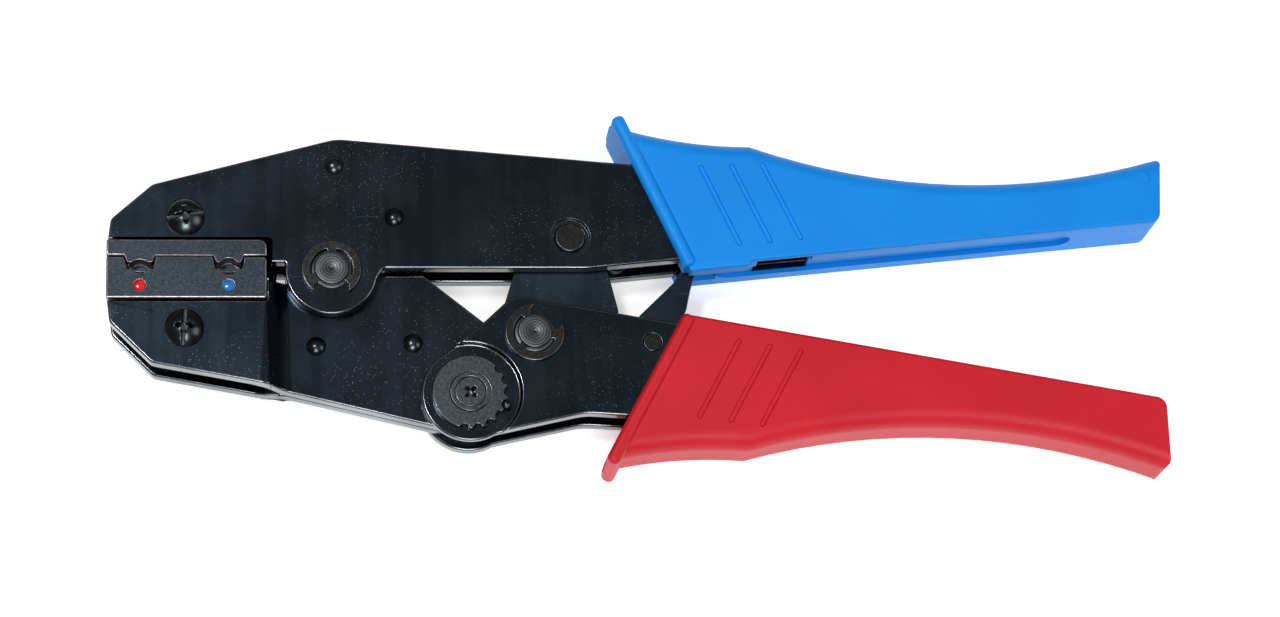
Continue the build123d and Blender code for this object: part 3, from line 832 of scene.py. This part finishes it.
# ---- Grips ----
@dataclass
class Grip:
    """A moulded grip. Sizes in mm, in its own frame: u along the inner edge, v outwards."""

    node: str
    slot: str
    finish: Finish
    corner: Point
    turn: float
    mirrored: bool
    lipped: bool
    length: float = 101.0
    tip: Point = (-11.0, 33.2)
    crest: Point = (3.0, 28.3)
    shoulder: Point = (17.5, 25.7)
    waist: Point = (60.0, 13.2)
    heel: Point = (103.6, 14.6)
    half_thick: float = 7.2
    bead_half: float = 8.15
    bead_width: float = 2.8
    bead_overhang: float = 0.3
    bead_round: float = 0.42
    outer_round: float = 3.8
    inner_round: float = 0.7
    heel_round: float = 1.9
    beyond_tip: float = -30.0
    beyond_heel: float = 120.0
    below: float = -9.0
    pocket_half: float = 6.3
    tang_inset: float = 1.9
    tang_end: float = 88.5
    pocket_left: float = -16.0
    pocket_rise: tuple[Point, ...] = ((58.0, 10.9), (18.0, 21.4), (-16.0, 24.6))
    channel_size: Point = (75.5, 6.2)
    channel_middle: float = 45.25
    channel_depth: float = 1.0
    window_at: Point = (21.2, 1.55)
    window_size: Point = (11.6, 9.3)
    window_depth: float = 3.0
    undercut_width: float = 12.4
    undercut_start: float = 0.9
    mouth_end: float = 7.5
    mouth_half: float = 3.1
    mouth_depth: float = 6.0
    lip_end: float = 14.3
    lip_floor: float = 3.6
    groove_count: int = 3
    groove_step: float = 6.4
    groove_width: float = 1.2
    groove_depth: float = 0.55
    groove_top: Point = (6.2, 21.6)
    groove_foot: Point = (12.2, 3.4)
    groove_drop: float = 0.3
    mark_at: Point = (99.0, 9.8)
    mark_radius: float = 1.45
    mark_height: float = 0.4
    mark_sink: float = 0.1

    def outline(self) -> list[Point]:
        """Draws the outline from its few set points.

        Returns:
            Its points, counter-clockwise from the front end of the inner edge.
        """
        tip, crest, shoulder, waist, heel = (
            Vector(p) for p in (self.tip, self.crest, self.shoulder, self.waist, self.heel)
        )
        points = [(0.0, 0.0), (self.length, 0.0)]
        points += arc_through(heel, waist, shoulder, 16)
        points += arc_through(shoulder, crest, tip, 8)
        points.append(self.tip)
        return points

    def block(self) -> bmesh.types.BMesh:
        """Makes the solid grip, with its heel corners and all its rims but the front one eased.

        Returns:
            The mesh.
        """
        bm = prism(self.outline(), -self.half_thick, self.half_thick)
        upright = [e for e in bm.edges if abs(e.verts[0].co.z - e.verts[1].co.z) > self.half_thick]
        corners = [Vector(self.heel), Vector((self.length, 0.0))]
        heel = [e for e in upright if min((e.verts[0].co.xy - c).length for c in corners) < 0.01]
        bevel(bm, heel, self.heel_round, 6)
        bevel(bm, [e for e in bm.edges if self._eased(e)], self.inner_round, 4)
        bmesh.ops.recalc_face_normals(bm, faces=bm.faces)
        return bm

    def _eased(self, edge: bmesh.types.BMEdge) -> bool:
        """Tells the rims that are eased from the one under the bead.

        Args:
            edge: An edge of the block.

        Returns:
            Whether it is eased.
        """
        a, b = edge.verts[0].co, edge.verts[1].co
        level = abs(a.z - b.z) < 1e-4 and abs(a.z) > self.half_thick - 0.01
        return level and abs(a.y - b.y) < 20.0

    def rounding(self) -> bmesh.types.BMesh:
        """Makes a longer block, whose outer rims carry the large rounding along their whole length.

        Returns:
            The mesh.
        """
        outer = self.outline()[2:]
        rise = (outer[0][1] - outer[1][1]) / (outer[0][0] - outer[1][0])
        fall = (outer[-1][1] - outer[-2][1]) / (outer[-1][0] - outer[-2][0])
        right = (self.beyond_heel, outer[0][1] + rise * (self.beyond_heel - outer[0][0]))
        left = (self.beyond_tip, outer[-1][1] + fall * (self.beyond_tip - outer[-1][0]))
        corners = [(self.beyond_tip, self.below), (self.beyond_heel, self.below), right, *outer, left]
        bm = prism(corners, -self.half_thick, self.half_thick)
        rims = [e for e in bm.edges if abs(e.verts[0].co.z - e.verts[1].co.z) < 1e-4]
        bevel(bm, [e for e in rims if min(v.co.y for v in e.verts) > 1.0], self.outer_round, 8)
        bmesh.ops.recalc_face_normals(bm, faces=bm.faces)
        return bm

    def bead(self) -> bmesh.types.BMesh:
        """Makes the half-round bead round the front edge.

        Returns:
            The mesh.
        """
        length = math.hypot(*self.tip) + 2 * self.bead_overhang
        middle = (length / 2 - self.bead_overhang, -self.bead_width / 2, 0.0)
        radius = self.bead_width * self.bead_round
        bm = bmesh.new()
        bmesh.ops.create_cube(bm, size=1.0)
        bmesh.ops.scale(bm, vec=(length, self.bead_width, 2 * self.bead_half), verts=bm.verts)
        bmesh.ops.translate(bm, vec=middle, verts=bm.verts)
        ends = [e for e in bm.edges if abs(e.verts[0].co.z - e.verts[1].co.z) > 1.0]
        bevel(bm, ends, radius, 5)
        rims = [f for f in bm.faces if abs(f.normal.z) > 0.9]
        bevel(bm, list({e for f in rims for e in f.edges}), radius, 5)
        lean = math.atan2(self.tip[1], self.tip[0])
        bmesh.ops.rotate(bm, cent=(0, 0, 0), matrix=Matrix.Rotation(lean, 3, "Z"), verts=bm.verts)
        return bm

    def lip(self) -> bmesh.types.BMesh:
        """Makes the lip that carries the front wall's inner edge past the window.

        Returns:
            The mesh.
        """
        end = self.lip_end
        outline = [(1.2, -0.9), (end - 0.9, -0.9), (end, 0.0), (end, 1.6), (0.7, 1.6)]
        bm = prism(outline, self.lip_floor, self.half_thick - 0.05)
        rims = [f for f in bm.faces if f.normal.z > 0.9]
        bevel(bm, [e for f in rims for e in f.edges if max(v.co.y for v in e.verts) < 0.5], 0.7, 4)
        return bm

    def pocket(self) -> bmesh.types.BMesh:
        """Makes the pocket that the pair of plates slides into.

        Returns:
            The cutter.
        """
        floor = [(self.pocket_left, self.tang_inset), (self.tang_end, self.tang_inset)]
        roof = [(self.tang_end, 9.8), *self.pocket_rise]
        return prism(floor + roof, -self.pocket_half, self.pocket_half)

    def inner_cut(
        self,
        outline: list[Point],
        centre: Point,
        depth: float,
        start: float = -1.0,
    ) -> bmesh.types.BMesh:
        """A cut into the inner edge, with its outline along u and Z.

        Args:
            outline: The cut seen from the inner side, about its centre.
            centre: Its centre along u and Z.
            depth: How deep it goes.
            start: Where it starts, along v.

        Returns:
            The cutter.
        """
        bm = prism(outline, start, depth)
        upend = Matrix.Rotation(math.radians(-90), 3, "X")
        bmesh.ops.rotate(bm, cent=(0, 0, 0), matrix=upend, verts=bm.verts)
        bmesh.ops.translate(bm, vec=(centre[0], 0.0, centre[1]), verts=bm.verts)
        return bm

    def groove(self, index: int, side: int) -> bmesh.types.BMesh:
        """Makes one slanted finger groove, a round-ended bar sunk in the face.

        Args:
            index: Which groove, from the front.
            side: 1 for the front face, -1 for the rear.

        Returns:
            The cutter.
        """
        shift = self.groove_step * index
        start = Vector((self.groove_top[0] + shift, self.groove_top[1] - self.groove_drop * index, 0.0))
        end = Vector((self.groove_foot[0] + shift, self.groove_foot[1], 0.0))
        bm = bmesh.new()
        bmesh.ops.create_uvsphere(bm, u_segments=24, v_segments=12, radius=self.groove_width / 2)
        along = (end - start).normalized()
        turn = along.to_track_quat("Z", "Y").to_matrix()
        half = (end - start).length / 2 - self.groove_width / 2
        for vert in bm.verts:
            vert.co.z += half if vert.co.z > 1e-5 else (-half if vert.co.z < -1e-5 else 0.0)
        bmesh.ops.rotate(bm, cent=(0, 0, 0), matrix=turn, verts=bm.verts)
        lift = side * (self.half_thick + self.groove_width / 2 - self.groove_depth)
        middle = (start + end) / 2 + Vector((0.0, 0.0, lift))
        bmesh.ops.translate(bm, vec=middle, verts=bm.verts)
        return bm

    def mark(self) -> bmesh.types.BMesh:
        """Makes the shallow round mark of an ejector pin near the heel.

        Returns:
            The cutter.
        """
        bm = bmesh.new()
        bmesh.ops.create_cone(
            bm,
            cap_ends=True,
            segments=32,
            radius1=self.mark_radius,
            radius2=self.mark_radius,
            depth=self.mark_height,
        )
        bmesh.ops.translate(bm, vec=(*self.mark_at, self.half_thick - self.mark_sink), verts=bm.verts)
        return bm

    def shell(self) -> bmesh.types.BMesh:
        """Joins and cuts the grip's bead, lip, pocket, channel, window, grooves and mark.

        Returns:
            The moulded shape.
        """
        half_window = self.window_size[0] / 2
        channel = stadium(*self.channel_size)
        window = rectangle(-half_window, half_window, self.window_size[1] / 2)
        undercut = rectangle(-half_window, half_window, self.undercut_width / 2)
        under = (self.window_at[0], 0.0)
        mouth = rectangle(-8.0, self.mouth_end, self.mouth_half)
        tools = [
            ("INTERSECT", self.rounding()),
            ("UNION", self.bead()),
            ("DIFFERENCE", self.pocket()),
            ("DIFFERENCE", self.inner_cut(channel, (self.channel_middle, 0.0), self.channel_depth)),
            ("DIFFERENCE", self.inner_cut(window, self.window_at, self.window_depth)),
            ("DIFFERENCE", self.inner_cut(undercut, under, self.window_depth, self.undercut_start)),
            ("DIFFERENCE", self.inner_cut(mouth, (0.0, 0.0), self.mouth_depth)),
        ]
        for side in (1, -1):
            for index in range(self.groove_count):
                tools.append(("DIFFERENCE", self.groove(index, side)))
        if self.lipped:
            tools.insert(1, ("UNION", self.lip()))
            tools.append(("DIFFERENCE", self.mark()))
        bm = combine(self.block(), tools)
        bmesh.ops.remove_doubles(bm, verts=bm.verts, dist=1e-4)
        bmesh.ops.dissolve_limit(bm, angle_limit=math.radians(0.5), verts=bm.verts, edges=bm.edges)
        return bm

    def build(self) -> None:
        """Makes the grip in place and lets it stand for its CAD node."""
        bm = self.shell()
        low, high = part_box(self.node)
        middle = (low.z + high.z) / 2
        flip = Matrix.Diagonal((1.0, -1.0 if self.mirrored else 1.0, 1.0, 1.0))
        place = Matrix.Translation((self.corner[0] * MM, self.corner[1] * MM, middle))
        turned = Matrix.Rotation(math.radians(self.turn), 4, "Z")
        bmesh.ops.transform(bm, matrix=place @ turned @ flip @ Matrix.Scale(MM, 4), verts=bm.verts)
        bmesh.ops.recalc_face_normals(bm, faces=bm.faces)
        piece = make_piece(bm, self.node + "_moulding", self.finish)
        soften = piece.modifiers.new("soft_edges", "BEVEL")
        soften.width = 0.16 * MM
        soften.segments = 2
        soften.limit_method = "ANGLE"
        soften.angle_limit = math.radians(40.0)
        soften.use_clamp_overlap = True
        stand_for(piece, self.node, self.slot)


# ---- Pivot pins ----
@dataclass
class PivotPin:
    """A headed pin with a turned front end, spun about its axis. Sizes in mm."""

    node: str
    radius: float = 3.5
    groove_radius: float = 3.0
    collar_radius: float = 4.1
    head_radius: float = 5.2
    cap: float = 0.6
    groove: float = 1.0
    head: float = 2.0
    crown: float = 0.35

    def profile(self, low: float, high: float) -> list[Point]:
        """Draws the pin's section from the axis at the rear to the axis at the front.

        Args:
            low: Height of the head's rear face.
            high: Height of the front face.

        Returns:
            Radius and height of its points: dished head, shank, collar, clip groove, cap, lathe centre.
        """
        under_clip = high - self.cap - self.groove
        return [
            (0.0, low + 0.1),
            (self.head_radius - 1.2, low + 0.1),
            (self.head_radius - 0.9, low),
            (self.head_radius - self.crown, low),
            (self.head_radius, low + self.crown),
            (self.head_radius, low + self.head),
            (self.radius, low + self.head),
            (self.radius, under_clip - 0.3),
            (self.collar_radius, under_clip - 0.3),
            (self.collar_radius, under_clip + 0.25),
            (self.collar_radius - 0.2, under_clip + 0.4),
            (self.groove_radius, under_clip + 0.4),
            (self.groove_radius, high - self.cap),
            (self.radius - 0.08, high - self.cap),
            (self.radius, high - self.cap + 0.08),
            (self.radius, high - self.crown),
            (self.radius - 0.10, high - 0.14),
            (self.radius - self.crown, high),
            (0.42, high),
            (0.30, high - 0.05),
            (0.12, high - 0.16),
            (0.0, high - 0.18),
        ]

    def build(self) -> None:
        """Spins the pin in place and lets it stand for its CAD node."""
        low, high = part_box(self.node)
        centre = (low + high) / 2
        bm = bmesh.new()
        section = [bm.verts.new((r, 0.0, z)) for r, z in self.profile(low.z / MM, high.z / MM)]
        edges = [bm.edges.new(pair) for pair in zip(section, section[1:])]
        bmesh.ops.spin(
            bm,
            geom=[*section, *edges],
            cent=(0, 0, 0),
            axis=(0, 0, 1),
            angle=math.tau,
            steps=64,
            use_merge=True,
        )
        bmesh.ops.remove_doubles(bm, verts=bm.verts, dist=1e-4)
        bevel(bm, sharp_edges(bm, 50.0), 0.05, 2)
        place = Matrix.Translation((centre.x, centre.y, 0.0)) @ Matrix.Scale(MM, 4)
        bmesh.ops.transform(bm, matrix=place, verts=bm.verts)
        bmesh.ops.recalc_face_normals(bm, faces=bm.faces)
        turned = TurnedSteel(self.node + "_turned", (centre.x, centre.y))
        piece = make_piece(bm, self.node + "_turning", turned)
        stand_for(piece, self.node, "pin_steel")


# ---- The steel work ----
@dataclass
class SteelWork:
    """The plates, dies, fasteners and springs that take their shape from the CAD."""

    plate: Dressing = Dressing(
        Finish.PLATE, Finish.EDGE, EdgeWork(0.42, 4), "black_steel", Finish.SOFT_EDGE
    )
    core: Dressing = Dressing(Finish.CORE, Finish.SOFT_EDGE, EdgeWork(0.16), "black_steel")
    die: Dressing = Dressing(Finish.DIE, Finish.DIE_EDGE, EdgeWork(0.12, 2), "die_steel")
    screw: Dressing = Dressing(Finish.SCREW, Finish.SOFT_EDGE, EdgeWork(0.10, 2), "pin_steel")
    pin: Dressing = Dressing(Finish.PIN, Finish.SOFT_EDGE, EdgeWork(0.12, 2), "pin_steel")
    clip: Dressing = Dressing(Finish.PIN, Finish.CLIP_EDGE, EdgeWork(0.20, 3), "pin_steel")
    adjuster: Dressing = Dressing(Finish.WHEEL, Finish.CLIP_EDGE, EdgeWork(0.16, 3), "wheel_steel")
    bend_radius: float = 1.3

    def build_plates(self) -> None:
        """Eases the stamped plates of the frame, the jaw and the handle."""
        for side in ("front", "rear"):
            ease_edges(f"upper_plate_{side}", self.plate)
            ease_edges(f"handle_plate_{side}", self.plate)
            ease_edges(f"lower_plate_{side}", self.plate, self.bend_radius)

    def build_core(self) -> None:
        """Eases the pieces between the plates."""
        for name in ("toggle_link", "ratchet_pawl", "upper_spacer"):
            ease_edges(name, self.core)
        for name in ("upper_tang_spacer", "handle_tang_spacer"):
            ease_edges(name, self.core)

    def build_dies(self) -> None:
        """Eases the dies and their screws, and fills the size dots."""
        for name in ("upper_die", "lower_die"):
            ease_edges(name, self.die)
            ease_edges(name + "_screw", self.screw)
        keep_node("small_size_dot", Finish.RED_DOT)
        keep_node("large_size_dot", Finish.BLUE_DOT)

    def build_fasteners(self) -> None:
        """Eases rivets, clips, the adjuster and the small pins."""
        for name in ("upper_rivets", "lower_rivets"):
            keep_node(name, Finish.SCREW)
        for name in ("upper_tang_rivet", "handle_tang_rivet", "return_spring_anchor"):
            ease_edges(name, self.pin)
        for name in ("pawl_spring_anchor", "link_frame_pin", "pawl_pin"):
            ease_edges(name, self.pin)
        for name in ("main_pivot_clip", "handle_link_clip"):
            ease_edges(name, self.clip)
        for name in ("adjuster_pin", "adjuster_wheel", "adjuster_screw", "adjuster_lock_screw"):
            ease_edges(name, self.adjuster)

    def build_springs(self) -> None:
        """Finishes the two springs."""
        for name in ("return_spring", "pawl_spring"):
            keep_node(name, Finish.SPRING)

    def build(self) -> None:
        """Makes every steel piece."""
        self.build_plates()
        self.build_core()
        self.build_dies()
        self.build_fasteners()
        self.build_springs()


# ---- Studio ----
@dataclass
class Studio:
    """Camera, floor, world and soft lights. Lengths in metres, angles in degrees."""

    target: Place = (0.06334, -0.00634, 0.0082)
    distance: float = 0.700
    tilt: float = 17.3
    yaw: float = 6.0
    lens: float = 95.6
    world_light: float = 0.10
    floor_glow: float = 0.55
    floor_half: float = 3.0

    def camera(self) -> None:
        """Makes the camera."""
        back = Vector((-math.sin(math.radians(self.yaw)), -math.sin(math.radians(self.tilt)), 0.0))
        back.z = math.sqrt(1.0 - back.length_squared)
        right = Vector((1.0, 0.0, 0.0)) - back.x * back
        right.normalize()
        up = back.cross(right)
        data = bpy.data.cameras.new("studio_camera")
        data.lens = self.lens
        data.sensor_width = 36.0
        data.clip_start = 0.01
        data.clip_end = 50.0
        camera = bpy.data.objects.new("studio_camera", data)
        turn = Matrix((right, up, back)).transposed().to_4x4()
        camera.matrix_world = Matrix.Translation(Vector(self.target) + back * self.distance) @ turn
        bpy.context.scene.collection.objects.link(camera)
        bpy.context.scene.camera = camera

    def lamp(self, name: str, place: Place, size: float, power: float) -> None:
        """Adds a soft square lamp aimed at the tool.

        Args:
            name: The lamp's name.
            place: Where it hangs.
            size: Its side.
            power: Its power in watts.
        """
        data = bpy.data.lights.new(name, "AREA")
        data.size = size
        data.energy = power
        lamp = bpy.data.objects.new(name, data)
        aim = Vector(self.target) - Vector(place)
        turn = aim.to_track_quat("-Z", "Y").to_matrix().to_4x4()
        lamp.matrix_world = Matrix.Translation(place) @ turn
        bpy.context.scene.collection.objects.link(lamp)

    def floor(self) -> None:
        """Makes the pale floor that the tool lies on."""
        bm = bmesh.new()
        bmesh.ops.create_grid(bm, x_segments=1, y_segments=1, size=self.floor_half)
        mesh = bpy.data.meshes.new("floor")
        bm.to_mesh(mesh)
        bm.free()
        floor = bpy.data.objects.new("floor", mesh)
        sheet = NodeSheet("pale_floor")
        pale = {
            "Base Color": (0.86, 0.86, 0.87, 1.0),
            "Roughness": 0.8,
            "Emission Color": (1.0, 1.0, 1.0, 1.0),
            "Emission Strength": self.floor_glow,
            "Specular IOR Level": 0.2,
        }
        mesh.materials.append(sheet.finish(pale))
        bpy.context.scene.collection.objects.link(floor)

    def build(self) -> None:
        """Sets up the whole studio."""
        scene = bpy.context.scene
        scene.view_settings.view_transform = "Standard"
        world = bpy.data.worlds.new("studio")
        world.use_nodes = True
        shade = world.node_tree.nodes["Background"]
        shade.inputs["Color"].default_value = (0.93, 0.97, 1.0, 1.0)
        shade.inputs["Strength"].default_value = self.world_light
        scene.world = world
        self.camera()
        self.floor()
        self.lamp("overhead", (0.22, 0.37, 1.20), 1.60, 1.7)
        self.lamp("key", (-0.30, 0.12, 1.05), 0.16, 5.0)
        self.lamp("front", (0.0, -0.62, 0.85), 0.40, 6.0)
        self.lamp("side", (0.85, -0.12, 0.70), 0.50, 2.0)


def main() -> None:
    """Builds the looks of the whole tool."""
    logging.basicConfig(level=logging.INFO)
    Studio().build()
    SteelWork().build()
    PivotPin("main_pivot_pin").build()
    PivotPin("handle_link_pin", head=1.6).build()
    Grip(
        "fixed_grip", "blue_grip", Finish.BLUE, corner=(72.0, 0.3), turn=5.8, mirrored=False, lipped=True
    ).build()
    Grip(
        "moving_grip", "red_grip", Finish.RED, corner=(71.5, -9.5), turn=-10.4, mirrored=True, lipped=False
    ).build()
    bpy.context.view_layer.update()


if __name__ == "__main__":
    main()
